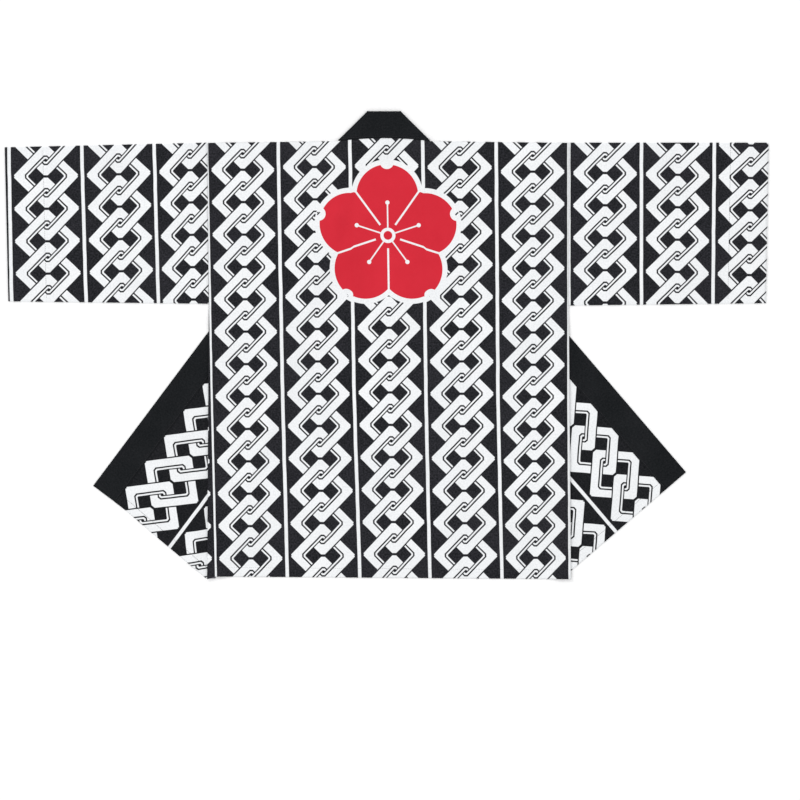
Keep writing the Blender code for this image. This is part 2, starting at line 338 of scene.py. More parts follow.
def back_level(x, y):
    """Height of the back's middle: it steps down softly off the fronts and the collar."""
    levels, inner = [], []
    for side in SIDES.values():
        beyond = smooth(1 - (past_fold(side, x, y) - PAST_FOLD) / BACK_RAMP)
        flare = smooth(1 - (past_free_edge(side, x, y) - PAST_EDGE) / BACK_RAMP)
        levels.append((FRONT_LIFT + FLARE_LIFT * flare) * beyond)
        past_seam = side["out"] * (x - seam_x(side, COLLAR_WIDTH_NECK))
        over = smooth(1 - (past_seam - PAST_EDGE) / BACK_RAMP)
        levels.append(NECK_LIFT * over * beyond)
        inner.append(over)
    bar = smooth(1 - (NECK_CORNER_Y - NECK_BAR - y) / BACK_RAMP)
    levels.append(NECK_LIFT * bar * inner[0] * inner[1])
    return np.max(levels, axis=0) + PANEL_WALL / 2


# Points closer than the weld are made one, and edges shorter than the least are taken out
WELD, LEAST_EDGE = 2e-5, 1e-6


def grid_mesh(name, patches, wall, materials):
    """Grids of points with their print coordinates, welded into one surface and thickened.

    Each patch is (points, print) with shapes (rows, columns, 3) and (rows, columns, 2)."""
    corners, faces, prints, first = [], [], [], 0
    for points, flat in patches:
        rows, columns = points.shape[:2]
        a = (np.arange(rows - 1)[:, None] * columns + np.arange(columns - 1)).ravel() + first
        faces.append(np.column_stack((a, a + columns, a + columns + 1, a + 1)))
        corners.append(points.reshape(-1, 3))
        prints.append(flat.reshape(-1, 2))
        first += rows * columns
    corners, faces, prints = np.concatenate(corners), np.concatenate(faces), np.concatenate(prints)
    mesh = bpy.data.meshes.new(name)
    mesh.from_pydata(corners.tolist(), [], faces.tolist())
    layer = mesh.uv_layers.new(name="print")
    loops = np.zeros(len(mesh.loops), dtype=np.int32)
    mesh.loops.foreach_get("vertex_index", loops)
    layer.data.foreach_set("uv", prints[loops].astype(np.float32).ravel())
    shape = bmesh.new()
    shape.from_mesh(mesh)
    bmesh.ops.remove_doubles(shape, verts=shape.verts, dist=WELD)
    bmesh.ops.dissolve_degenerate(shape, edges=shape.edges, dist=LEAST_EDGE)
    shape.to_mesh(mesh)
    shape.free()
    mesh.polygons.foreach_set("use_smooth", np.ones(len(mesh.polygons), dtype=bool))
    for material in materials:
        mesh.materials.append(material)
    piece = bpy.data.objects.new(name, mesh)
    bpy.context.scene.collection.objects.link(piece)
    thicken = piece.modifiers.new("wall", "SOLIDIFY")
    thicken.thickness = wall
    thicken.offset = 0
    thicken.use_even_offset = True
    thicken.material_offset = len(materials) - 1
    return piece


# The print, in metres of cloth: columns of interlaced square links between white stripes. A
# link is a wide white band with a thin white line inside it, and black between and around them.
COLUMN = 0.1245
LINK_STEP = 0.0551
STRIPE_HALF = 0.0029
LINK_OUTER, WIDE_BAND_IN = 0.0399, 0.0274
THIN_LINE_OUT, THIN_LINE_IN = 0.0249, 0.0222
OUTLINE_IN, OUTLINE_OUT = 0.0203, 0.0421
LINK_HALF_WIDTH, LINK_HALF_HEIGHT = 0.0543, 0.0530
CORNER_GAIN, CORNER_SHIFT = 0.91, 0.00530
NICK_DEPTH, NICK_HALF = 0.0009, 0.0006
INK_EDGE = 0.0005
WOBBLE = 0.0014
# The body's left seam lies in a stripe and takes up a little of the print past its middle
SEAM_IN_STRIPE, SEAM_TAKES, SEAM_EDGE = 0.0004, 0.0027, 0.0001
THREAD_PITCH = 0.00055

COTTON_WHITE, COTTON_WHITE_DULL = (0.922, 0.934, 0.950), (0.778, 0.796, 0.812)
INK_BLACK, INK_BLACK_WORN = (0.0057, 0.0072, 0.0082), (0.0342, 0.0330, 0.0402)
# The fronts print with the same ink, painted darker: painted shade on the turned-out fronts, over
# the same worn mottle
SHADED_FRONT_INK, SHADED_FRONT_INK_WORN = (0.0042, 0.0054, 0.0064), (0.0200, 0.0202, 0.0232)
WRONG_WHITE, WRONG_GREY = (0.74, 0.74, 0.77), (0.105, 0.103, 0.118)
BLOSSOM_RED, BLOSSOM_RED_DEEP = (0.675, 0.0275, 0.047), (0.590, 0.021, 0.037)


def chain_print(u, v):
    """1 where the cotton is left white.

    A column's place x runs from its middle, and y from the middle of the link above. Each link
    is a ring of square outline, so |x| + |y| over root two is the distance from its middle
    across a side. Its inner lines are cut off at the corners, by the larger of |x| and |y|.
    The side that rises to the right lies over the other, with a black outline."""
    x = u.math("FLOORED_MODULO", COLUMN) - COLUMN / 2
    y = v.math("FLOORED_MODULO", LINK_STEP)
    half = x.math("ABSOLUTE")
    rise = LINK_STEP - y

    def bands(down):
        across = (half + down) * math.sqrt(0.5)
        blunt = across.math("MAXIMUM", half.math("MAXIMUM", down) * CORNER_GAIN - CORNER_SHIFT)
        outer = 1 - across.above(LINK_OUTER, INK_EDGE)
        wide = blunt.above(WIDE_BAND_IN, INK_EDGE) * outer
        thin = blunt.between(THIN_LINE_IN, THIN_LINE_OUT, INK_EDGE)
        white = (wide + thin) * (1 - down.above(LINK_HALF_HEIGHT, INK_EDGE))
        outline = blunt.above(OUTLINE_IN, INK_EDGE) * (1 - across.above(OUTLINE_OUT, INK_EDGE))
        return white, outline

    white_upper, outline_upper = bands(y)
    white_lower, outline_lower = bands(rise)
    right = x.above(0.0, 1e-5)
    outline = right.pick(outline_lower, outline_upper)
    white_over = right.pick(white_lower, white_upper)
    white_under = right.pick(white_upper, white_lower)
    nick = half.above(LINK_HALF_WIDTH - NICK_DEPTH, INK_EDGE)
    nick = nick * (1 - y.math("MINIMUM", rise).above(NICK_HALF, INK_EDGE))
    kept = (1 - half.above(LINK_HALF_WIDTH, INK_EDGE)) * (1 - nick)
    links = outline.pick(white_under, white_over) * kept
    return links.math("MAXIMUM", half.above(COLUMN / 2 - STRIPE_HALF, INK_EDGE))


def cotton_relief(start, flat, u, v, height=1.0):
    """Bump of a plain weave with slubs: two sets of threads crossing, over a low unevenness."""
    turns = 2 * math.pi / THREAD_PITCH
    weft = (u * turns).math("SINE") * 0.5
    warp = (v * turns).math("SINE") * 0.5
    slub = flat.noise(420.0, 3.0)
    low = flat.noise(38.0, 2.0)
    relief = weft + warp + slub * 1.4 + low * 5.0
    bump = {"Height": relief, "Strength": 0.35, "Distance": 0.00012 * height}
    return start.node("ShaderNodeBump", None, bump)


def dull(surface):
    """The soft face that both cottons have."""
    surface.inputs["Specular IOR Level"].default_value = 0.06
    surface.inputs["Sheen Weight"].default_value = 0.03
    surface.inputs["Sheen Roughness"].default_value = 0.5


def printed_cotton(name, inks=(INK_BLACK, INK_BLACK_WORN), wrong=False, blossom=None):
    """Cotton with the chain print, on its right side or showing through on its wrong side.

    Only the back has the blossom, and the seam that takes up some of the print."""
    material, surface, start = new_material(name)
    flat = start.node("ShaderNodeUVMap", {"uv_map": "print"})
    wobble = flat.noise(26.0, 2.0)
    wobble_too = flat.noise(31.0, 2.0)
    split = flat.node("ShaderNodeSeparateXYZ", None, {0: flat})
    u = split
    v = Wire(split.tree, split.socket.node.outputs[1])
    if blossom:
        u = u - (1 - u.above(-SEAM_IN_STRIPE, SEAM_EDGE)) * SEAM_TAKES
    white = chain_print(u + (wobble - 0.5) * WOBBLE, v + (wobble_too - 0.5) * WOBBLE)
    cloud = flat.noise(9.0, 4.0, 0.6)
    mottle = flat.noise(350.0, 2.0)
    fleck = flat.noise(900.0, 2.0, 0.7)
    if wrong:
        worn = (cloud * 0.5 + fleck * 0.5).above(0.5, 0.5)
        ink = worn.blend(WRONG_GREY, tuple(1.5 * c for c in WRONG_GREY))
        bare = cloud.above(0.5, 0.6).blend(WRONG_WHITE, tuple(0.9 * c for c in WRONG_WHITE))
    else:
        worn = (cloud * 0.2 + mottle * 0.55 + fleck * 0.25).above(0.51, 0.24)
        ink = worn.blend(*inks)
        uneven = (cloud * 0.35 + mottle * 0.65).above(0.5, 0.32)
        bare = uneven.blend(COTTON_WHITE, COTTON_WHITE_DULL)
    colour = white.blend(ink, bare)
    if blossom:
        colour = blossom(start, flat, u, v, cloud, colour, bare)
    drive(
        surface,
        Base_Color=colour,
        Roughness=0.78 + white * 0.1 + (fleck - 0.5) * 0.12,
        Normal=cotton_relief(start, flat, u, v),
    )
    dull(surface)
    return material


# The red blossom: five round petals with notched tips, parted by white lines outside the heart,
# with a white edge and white stamens round an eye
BLOSSOM_U, BLOSSOM_V = 0.3117, 0.1180
PETAL_MIDDLE, PETAL_RADIUS = 0.0680, 0.0530
BLOSSOM_EDGE = 0.0085
STAMEN_END, STAMEN_HALF, STAMEN_DOT = 0.0560, 0.0012, 0.0036
EYE_HOLE, EYE_RADIUS = 0.0075, 0.0130
HEART_RADIUS, PARTING_START, PETAL_GAP_HALF = 0.0350, 0.0220, 0.0016
NOTCH_PAST_TIP, NOTCH_RADIUS = 0.0040, 0.0120


def red_blossom(start, flat, u, v, cloud, colour, bare):
    """Lays the blossom over the print. The angle is folded into one petal's half sector."""
    x, y = u - BLOSSOM_U, v - BLOSSOM_V
    sector = 2 * math.pi / 5
    angle = x.math("ARCTAN2", y * -1.0)
    folded = ((angle + sector / 2).math("FLOORED_MODULO", sector) - sector / 2).math("ABSOLUTE")
    radius = (x * x + y * y).math("SQRT")
    out, side = radius * folded.math("COSINE"), radius * folded.math("SINE")
    petal_out = out - PETAL_MIDDLE
    petal = (petal_out * petal_out + side * side).math("SQRT")
    notch_out = out - (PETAL_MIDDLE + PETAL_RADIUS + NOTCH_PAST_TIP)
    notch = (notch_out * notch_out + side * side).math("SQRT")
    shape = petal.math("MAXIMUM", notch * -1.0 + (PETAL_RADIUS + NOTCH_RADIUS))
    shape = shape.math("MINIMUM", radius + (PETAL_RADIUS - HEART_RADIUS))
    inside = 1 - shape.above(PETAL_RADIUS, INK_EDGE)
    edged = 1 - shape.above(PETAL_RADIUS + BLOSSOM_EDGE, INK_EDGE)
    stamen = (1 - side.above(STAMEN_HALF, INK_EDGE)) * out.between(EYE_RADIUS, STAMEN_END, INK_EDGE)
    dot_out = out - STAMEN_END
    dot = 1 - (dot_out * dot_out + side * side).math("SQRT").above(STAMEN_DOT, INK_EDGE)
    parted = (radius * (sector / 2 - folded).math("SINE")).above(PETAL_GAP_HALF, INK_EDGE)
    parted = parted.math("MAXIMUM", 1 - radius.above(PARTING_START, INK_EDGE))
    eye = radius.between(EYE_HOLE, EYE_RADIUS, INK_EDGE)
    white = stamen.math("MAXIMUM", dot).math("MAXIMUM", eye)
    red = inside * (1 - white) * parted
    deep = cloud.above(0.52, 0.5).blend(BLOSSOM_RED, BLOSSOM_RED_DEEP)
    return red.blend(edged.blend(colour, bare), deep)


right_side = printed_cotton("printed_cotton")
# The fronts' copy of the printed cotton has darker inks than the back's: painted shade
shaded_front_side = printed_cotton("printed_cotton_front_shaded", inks=(SHADED_FRONT_INK, SHADED_FRONT_INK_WORN))
wrong_side = printed_cotton("printed_cotton_wrong_side", wrong=True)
back_side = printed_cotton("printed_cotton_back", blossom=red_blossom)

# Where the stripes lie across the back, by how far down it, and the height and stretch of the
# rows of links in each column
BACK_STRIPES = [
    (0.0, (-0.3081, -0.1855, -0.0631, 0.0614, 0.1872, 0.3115)),
    (0.589, (-0.3000, -0.1778, -0.0555, 0.0673, 0.1903, 0.3115)),
    (1.0, (-0.2928, -0.1698, -0.0458, 0.0740, 0.1973, 0.3135)),
]
BACK_ROWS = np.array((0.2997, 0.3044, 0.3062, 0.3038, 0.2964))
BACK_STRETCH = np.array((0.0047, 0.0047, 0.0040, 0.0032, -0.0020))


def striped(x, share, table):
    """Print coordinate across a panel: a whole number of columns at each stripe."""
    shares, rows = zip(*table)
    stripes = np.stack([np.interp(share, shares, across) for across in zip(*rows)], axis=-1)
    steps = np.diff(stripes, axis=-1)
    first, last = stripes[..., :1] - steps[..., :1], stripes[..., -1:] + steps[..., -1:]
    ends = first - steps[..., :1], last + steps[..., -1:]
    knots = np.concatenate((ends[0], first, stripes, last, ends[1]), axis=-1)
    before = np.clip((x[..., None] >= knots).sum(axis=-1) - 1, 0, knots.shape[-1] - 2)
    low = np.take_along_axis(knots, before[..., None], -1)[..., 0]
    high = np.take_along_axis(knots, before[..., None] + 1, -1)[..., 0]
    return (before - 2 + (x - low) / (high - low)) * COLUMN


HEM_DEPTH, HEM_STEP, HEM_RISE = 0.0155, 0.0015, 0.0004
HEM_ROWS = 15
# Room for a stitch between the cloth and the table, and the least height of the cloth's middle
STITCH_ROOM = 0.00005
LEAST_HEIGHT = CLOTH_WALL / 2 + STITCH_ROOM
PUCKER_HALF, PUCKER_DEPTH = 0.0016, 0.0002
BODY_WIDTH, BODY_LENGTH = 0.62, 0.75


def hemmed(end, count):
    """Shares of a length with closer steps along the hem at its end."""
    begin = 1 - end
    return np.concatenate((np.linspace(0, begin, count)[:-1], np.linspace(begin, 1, HEM_ROWS)))


def hem_rise(distance):
    """A hem's second layer lifts it a little up to its stitching, and the cloth puckers there."""
    fold = smooth((HEM_DEPTH + HEM_STEP / 2 - distance) / HEM_STEP)
    pucker = np.exp(-(((distance - HEM_DEPTH) / PUCKER_HALF) ** 2))
    return HEM_RISE * fold - PUCKER_DEPTH * pucker


def back_hem_y(x):
    """The hem between its corners; the left corner hangs a little lower."""
    left, right = SIDES.values()
    inner = left["hem_x"] + CORNER_WIDTH, right["hem_x"] - CORNER_WIDTH
    heights = left["corner_y"], left["back_hem_y"], right["back_hem_y"], right["corner_y"]
    return np.interp(x, (left["hem_x"], *inner, right["hem_x"]), heights)


columns = round(BODY_WIDTH / GRID)
rows = hemmed(2 * HEM_DEPTH / BODY_LENGTH, round(BODY_LENGTH / GRID))
across, down = np.meshgrid(np.linspace(0, 1, columns + 1), rows)
guess_x = SIDES["left"]["hem_x"] + across * (SIDES["right"]["hem_x"] - SIDES["left"]["hem_x"])
guess_y = SHOULDER_Y + down * (back_hem_y(guess_x) - SHOULDER_Y)
left_x = side_edge_x(SIDES["left"], guess_y, GAP / 2)
right_x = side_edge_x(SIDES["right"], guess_y, GAP / 2)
x = left_x + across * (right_x - left_x)


def top_edge_y(x):
    """The shoulder line rises a little to the neck corners, and bows up between them."""
    left, right = (seam_x(s, COLLAR_WIDTH_NECK) for s in SIDES.values())
    ends = (SIDES["left"]["shoulder_x"], left, right, SIDES["right"]["shoulder_x"])
    line = np.interp(x, ends, (SHOULDER_Y, NECK_CORNER_Y, NECK_CORNER_Y, SHOULDER_Y))
    inside_neck = (x > left) & (x < right)
    return np.where(inside_neck, neckline_y(x), line) - np.where(inside_neck, GAP / 2, 0)


y = top_edge_y(x) + down * (back_hem_y(x) - top_edge_y(x))


def back_height(x, y):
    height = back_level(x, y) + creased(x, y) + hem_rise(y - back_hem_y(x))
    return np.maximum(height, LEAST_HEIGHT)


points = np.stack((x, y, back_height(x, y)), axis=-1)
column = striped(x, down, BACK_STRIPES)
number = np.clip(np.floor(column / COLUMN), 0, len(BACK_ROWS) - 1).astype(int)
row = (BACK_ROWS[number] - y) / (1 + BACK_STRETCH[number])
prints = np.stack((column, row), axis=-1)
back = grid_mesh("back_panel", [(points, prints)], CLOTH_WALL, [back_side, wrong_side])

thread, surface, start = new_material("black_thread")
place = start.node("ShaderNodeTexCoord", None, None, "Object")
twist = place.noise(1500.0, 2.0)
drive(surface, Base_Color=twist.above(0.5, 0.5).blend((0.010, 0.010, 0.012), (0.030, 0.029, 0.033)))
surface.inputs["Roughness"].default_value = 0.62

STITCH_STEP, STITCH_HALF, THREAD_HALF = 0.0032, 0.00125, 0.00022
# Along a stitch: place, thickness and how far it sinks into the cloth
STITCH_SECTIONS = np.array(
    [(-1.0, 0.3, 0.00014), (-0.55, 1.0, 0.0), (0.55, 1.0, 0.0), (1.0, 0.3, 0.00014)]
)
UNEVEN_STEP, UNEVEN_LINE = 0.00012, 0.00010
UP, UNDER = 1, -1
# How many points a line of stitches is laid through, and how far it stays off the cloth's ends
BACK_LINE, SHORT_LINE, COLLAR_LINE, NECK_LINE = 160, 90, 200, 40
STITCH_END, CUFF_END = 0.003, 0.012


def sew(name, lines):
    """A pod of thread for each stitch along lines of points (x, y, z) on the cloth's surface.

    A line is (x, y, z, way): way is UP where it lies on top, UNDER where it lies underneath."""
    corners = []
    for x, y, z, way in lines:
        points = np.column_stack(np.broadcast_arrays(x, y, z)).astype(float)
        run = np.concatenate(([0], np.cumsum(np.linalg.norm(np.diff(points, axis=0), axis=1))))
        number = np.arange(1, int(run[-1] / STITCH_STEP))
        at = number * STITCH_STEP + UNEVEN_STEP * np.sin(number * 2.3)
        middle = np.column_stack([np.interp(at, run, axis) for axis in points.T])
        ahead = np.column_stack([np.interp(at + STITCH_STEP / 2, run, axis) for axis in points.T])
        along = ahead - middle
        along /= np.linalg.norm(along, axis=1)[:, None]
        beside = np.column_stack((-along[:, 1], along[:, 0], np.zeros(len(along))))
        middle += beside * (UNEVEN_LINE * np.sin(number * 1.7 + 0.6))[:, None]
        out = np.array((0.0, 0.0, way))
        for place, thick, sunk in STITCH_SECTIONS:
            centre = middle + along * (place * STITCH_HALF) - out * sunk
            width = beside * (THREAD_HALF * thick)
            depth = out * (THREAD_HALF * thick * (0.7 if way == UP else 0.25))
            corners += [centre + width, centre + depth, centre - width, centre - depth]
    rings = [np.stack(corners[i : i + 16], axis=1) for i in range(0, len(corners), 16)]
    rings = np.concatenate(rings)
    around = [(4 * i + j, 4 * i + (j + 1) % 4) for i in range(3) for j in range(4)]
    walls = [(a, b, b + 4, a + 4) for a, b in around]
    pod = np.array([*walls, (3, 2, 1, 0), (12, 13, 14, 15)])
    faces = (pod[None] + 16 * np.arange(len(rings))[:, None, None]).reshape(-1, 4)
    mesh = bpy.data.meshes.new(name)
    mesh.from_pydata(rings.reshape(-1, 3).tolist(), [], faces.tolist())
    shape = bmesh.new()
    shape.from_mesh(mesh)
    bmesh.ops.recalc_face_normals(shape, faces=shape.faces)
    shape.to_mesh(mesh)
    shape.free()
    mesh.polygons.foreach_set("use_smooth", np.ones(len(mesh.polygons), dtype=bool))
    mesh.materials.append(thread)
    stitches = bpy.data.objects.new(name, mesh)
    bpy.context.scene.collection.objects.link(stitches)
    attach(stitches, "root")
    return stitches


hem_ends = SIDES["left"]["hem_x"] + STITCH_END, SIDES["right"]["hem_x"] - STITCH_END
hem_x = np.linspace(*hem_ends, BACK_LINE)
hem_y = back_hem_y(hem_x) + HEM_DEPTH
hem_z = back_height(hem_x, hem_y)
back_stitches = sew(
    "back_stitches",
    [(hem_x, hem_y, hem_z + CLOTH_WALL / 2, UP), (hem_x, hem_y, hem_z - CLOTH_WALL / 2, UNDER)],
)
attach(back, "root")
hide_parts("back")

# Fronts
# Each front is one panel from the side seam to the collar seam. It lies face down under the
# back and is turned under once more along a slanting fold, so that its printed side shows
# again where it comes out beside the body.

FOLD_STEPS = 8
TURN_RADIUS = FLARE_LIFT / 2
SEAM_TUCK = 0.0030
# How wide a front is, for its columns of points, and how it comes down off the collar's edge
FRONT_REACH = 0.22
FRONT_PAST_EDGE, FRONT_RAMP = 0.0005, 0.0200
# How soon the creases die away under the back, and how quickly the hem's sag does upwards
FLARE_FADE, SAG_POWER = 0.012, 6
STITCHES_FROM_FOLD = 0.004


def ruled(first, second, count):
    """Straight lines between two edges of equally many points."""
    share = np.linspace(0, 1, count + 1)[None, :, None]
    return first[:, None, :] + (second - first)[:, None, :] * share


def edge_line(begin, end, count):
    return np.linspace(begin, end, count + 1)


def mirrored(side, flat):
    """Points of the unfolded panel, carried over its fold."""
    bulge = fold_of(side)[2]
    past = past_fold(side, flat[..., 0], flat[..., 1])
    return flat - 2 * past[..., None] * bulge


def turn_strip(stations, bulge, low):
    """Half a round from the upper to the lower layer, along the stations of a fold."""
    angle = np.linspace(0, math.pi, FOLD_STEPS + 1)[None, :, None]
    flat = stations[:, None, :] + TURN_RADIUS * np.sin(angle) * bulge
    height = low + TURN_RADIUS * (1 + np.cos(angle))
    return np.concatenate((flat, np.broadcast_to(height, (*flat.shape[:2], 1))), axis=-1)


def front_hem_y(side, x):
    """Height of a front's hem before its turn: level by the collar, and sagging to the side."""
    knots = ((side["collar_edge_x"], side["front_hem_y"]), *side["sagging_hem"])
    edge = (side["hem_x"], side["corner_y"] + CORNER_INSET)
    if not side["sagging_hem"]:
        edge = (side["hem_x"], side["front_hem_y"])
    xs, ys = np.array((*knots, edge)).T
    return np.interp(side["out"] * x, side["out"] * xs, ys)


def flare_height(side, shown):
    """Height of a turned-out part, whose creases die away where it goes under the back."""
    clear = side["out"] * (shown[..., 0] - side_edge_x(side, shown[..., 1]))
    return PANEL_WALL / 2 + creased(shown[..., 0], shown[..., 1]) * smooth(clear / FLARE_FADE)


def front_panel(name, side):
    out = side["out"]
    begin, along, bulge = fold_of(side)
    seam_neck = seam_x(side, COLLAR_WIDTH_NECK + GAP / 2)
    seam_front = seam_x(side, COLLAR_WIDTH_FRONT - SEAM_TUCK)
    crossing = begin + along * (seam_front - begin[0]) / along[0]
    hem_y = side["front_hem_y"]
    corner_y = side["corner_y"] + CORNER_INSET
    foot_y = side["sagging_hem"][-1][1] if side["sagging_hem"] else hem_y
    foot = begin + along * (foot_y - begin[1]) / along[1]
    upper_rows = round((SHOULDER_Y - crossing[1]) / GRID)
    part_columns = round(FRONT_REACH / GRID)
    shares = hemmed(2 * HEM_DEPTH / (crossing[1] - hem_y), round((crossing[1] - hem_y) / GRID))

    mid_y = np.linspace(SHOULDER_Y, crossing[1], upper_rows + 1)
    side_upper = np.stack((side_edge_x(side, mid_y, GAP / 2), mid_y), axis=-1)
    inner_upper = edge_line((seam_neck, NECK_CORNER_Y), crossing, upper_rows)
    low_y = crossing[1] + shares * (corner_y - crossing[1])
    side_lower = np.stack((side_edge_x(side, low_y, GAP / 2), low_y), axis=-1)
    fold = crossing + shares[:, None] * (foot - crossing)
    seam_lower = crossing + shares[:, None] * (np.array((seam_front, hem_y)) - crossing)

    def lifted(flat):
        past = past_free_edge(side, flat[..., 0], flat[..., 1])
        over = smooth(1 - (past - FRONT_PAST_EDGE) / FRONT_RAMP)
        return np.concatenate((flat, (PANEL_WALL / 2 + FLARE_LIFT * over)[..., None]), axis=-1)

    def printed(flat):
        from_edge = out * (flat[..., 0] - side["collar_edge_x"])
        column = striped(from_edge, 0 * from_edge, [(0, side["front_stripes"])])
        row = np.interp(column, (COLUMN / 2, COLUMN * 3 / 2), side["front_rows"]) - flat[..., 1]
        return np.stack((-out * column, row), axis=-1)

    patches = []
    upper = ruled(side_upper, inner_upper, part_columns)
    lower = ruled(side_lower, fold, part_columns)
    for flat in (upper, lower):
        patches.append((lifted(flat), printed(flat)))
    strip = turn_strip(fold, bulge, PANEL_WALL / 2)
    strip_print = np.broadcast_to(printed(fold)[:, None, :], (*strip.shape[:2], 2))
    patches.append((strip, strip_print))
    flare = ruled(fold, seam_lower, part_columns)
    sag = (front_hem_y(side, flare[-1, :, 0]) - flare[-1, :, 1]) * shares[:, None] ** SAG_POWER
    flare[..., 1] += sag
    shown = mirrored(side, flare)
    height = flare_height(side, shown) + hem_rise(flare[..., 1] - front_hem_y(side, flare[..., 0]))
    height = np.maximum(height, LEAST_HEIGHT)
    patches.append((np.concatenate((shown, height[..., None]), axis=-1), printed(flare)))
    if out < 0:
        patches = [(p[:, ::-1], q[:, ::-1]) for p, q in patches]
    return grid_mesh(name, patches, CLOTH_WALL, [shaded_front_side, wrong_side])


def turned_out(side, x, y, half_wall, rise=0.0):
    """A line of stitches above and below a turned-out part, from its place before the turn."""
    flat = np.stack(np.broadcast_arrays(x, y), axis=-1).astype(float)
    flat = flat[past_fold(side, flat[..., 0], flat[..., 1]) > STITCHES_FROM_FOLD]
    shown = mirrored(side, flat)
    top = flare_height(side, shown) - PANEL_WALL / 2 + rise
    lines = (top + 2 * half_wall, UP), (top + 2 * STITCH_ROOM, UNDER)
    return [(shown[:, 0], shown[:, 1], z, way) for z, way in lines]


for name, side in SIDES.items():
    front = front_panel(f"front_panel_{name}", side)
    hem_x = np.linspace(seam_x(side, COLLAR_WIDTH_FRONT + 0.001), side["hem_x"], SHORT_LINE)
    hem_y = front_hem_y(side, hem_x) + HEM_DEPTH
    lines = turned_out(side, hem_x, hem_y, PANEL_WALL / 2, HEM_RISE / 2)
    stitches = sew(f"front_stitches_{name}", lines)
    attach(front, "root")
    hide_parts(f"front_{name}")

# Sleeves
# Each sleeve is one straight length of the printed cotton, folded at the shoulder and sewn
# under the arm, so it lies as a flat tube. The cuff is turned in deep and topstitched.

SLEEVES = {
    "left": {
        "cuff_top_x": -0.6529,
        "cuff_bottom_x": -0.6467,
        "cuff_top_y": 0.3379,
        "cuff_bottom_y": 0.0754,
        "bottom_y": 0.0712,
        "stripes": [
            (0, (-0.6459, -0.5216, -0.3976, -0.2765)),
            (1, (-0.6411, -0.5136, -0.3902, -0.2702)),
        ],
        "row_x": (-0.581, -0.457, -0.333),
        "row_y": (0.2883, 0.2920, 0.2993),
    },
    "right": {
        "cuff_top_x": 0.6532,
        "cuff_bottom_x": 0.6483,
        "cuff_top_y": 0.3458,
        "cuff_bottom_y": 0.0723,
        "bottom_y": 0.0682,
        "stripes": [(0, (0.3113, 0.4355, 0.5603, 0.6853)), (1, (0.3113, 0.4355, 0.5577, 0.6806))],
        "row_x": (0.3741, 0.4989, 0.6225),
        "row_y": (0.2942, 0.2910, 0.2856),
    },
}


SLEEVE_LENGTH, SLEEVE_DEPTH, SLEEVE_STRETCH = 0.346, 0.27, 0.005
CUFF_DEPTH, CUFF_STEP = 0.065, 0.005
EDGE_FADE, ARMHOLE_FADE = 0.08, 0.12
TURN_POINTS = 5


def tube_lift(x, y, share, lengths):
    """What raises a sleeve's upper layer: its creases, and the cuff's second layer."""
    inner = smooth(np.minimum(share, 1 - share) / EDGE_FADE)
    from_cuff = (1 - lengths) * SLEEVE_LENGTH
    cuff = HEM_RISE * smooth((CUFF_DEPTH + CUFF_STEP / 2 - from_cuff) / CUFF_STEP)
    return (creased(x, y) * smooth(lengths / ARMHOLE_FADE) + cuff) * inner


def sleeve_tube(name, side, sleeve):
    """Sections down the sleeve, each a flattened loop from the underarm over the top and back."""
    turn = (PANEL_WALL + GAP) / 2
    count = round(SLEEVE_DEPTH / GRID)
    angle = np.linspace(0, math.pi, TURN_POINTS + 2)[1:-1]
    flat = np.linspace(0, 1, count + 1)
    ends = np.ones(TURN_POINTS), np.zeros(TURN_POINTS)
    share = np.concatenate((flat, ends[0], flat[::-1], ends[1], flat[:1]))
    flat_run, bow = np.zeros(count + 1), np.sin(angle)
    bow_y = np.concatenate((flat_run, -bow, flat_run, bow, (0.0,)))
    upper_run, fall = np.full(count + 1, 2.0), np.cos(angle)
    height = np.concatenate((upper_run, 1 + fall, flat_run, 1 - fall, (2.0,)))
    lengths = np.linspace(0, 1, round(SLEEVE_LENGTH / GRID) + 1)[:, None]
    top = SHOULDER_Y + lengths * (sleeve["cuff_top_y"] - SHOULDER_Y) - turn
    bottom = sleeve["bottom_y"] + lengths * (sleeve["cuff_bottom_y"] - sleeve["bottom_y"]) + turn
    y = top + share * (bottom - top) + turn * bow_y
    armhole = side_edge_x(side, SHOULDER_Y + share * (sleeve["bottom_y"] - SHOULDER_Y), -GAP / 2)
    cuff = sleeve["cuff_top_x"] + share * (sleeve["cuff_bottom_x"] - sleeve["cuff_top_x"])
    x = armhole + lengths * (cuff - armhole)
    z = height * turn + tube_lift(x, y, share, lengths) * (height > 1) + PANEL_WALL / 2
    printed_share = np.clip((SHOULDER_Y - y) / (SHOULDER_Y - sleeve["bottom_y"]), 0, 1)
    column = striped(x, printed_share, sleeve["stripes"])
    row = (np.interp(x, sleeve["row_x"], sleeve["row_y"]) - y) / (1 + SLEEVE_STRETCH)
    patch = (np.stack((x, y, z), axis=-1), np.stack((column, row), axis=-1))
    if side["out"] > 0:
        patch = tuple(part[:, ::-1] for part in patch)
    return grid_mesh(name, [patch], CLOTH_WALL, [right_side, wrong_side])


for name, side in SIDES.items():
    sizes = SLEEVES[name]
    sleeve = sleeve_tube(f"sleeve_tube_{name}", side, sizes)
    share = np.linspace(CUFF_END, 1 - CUFF_END, SHORT_LINE)
    top_y, bottom_y = sizes["cuff_top_y"], sizes["cuff_bottom_y"]
    y = top_y + share * (bottom_y - top_y)
    cuff_x = sizes["cuff_top_x"] + share * (sizes["cuff_bottom_x"] - sizes["cuff_top_x"])
    x = cuff_x - side["out"] * CUFF_DEPTH
    lift = tube_lift(x, y, share, 1 - CUFF_DEPTH / SLEEVE_LENGTH)
    upper = PANEL_WALL + GAP + lift + PANEL_WALL / 2
    under = (PANEL_WALL - CLOTH_WALL) / 2 + STITCH_ROOM
    lines = [(x, y, upper + CLOTH_WALL / 2, UP), (x, y, under, UNDER)]
    stitches = sew(f"sleeve_stitches_{name}", lines)
    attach(sleeve, "root")
    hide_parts(f"sleeve_{name}")

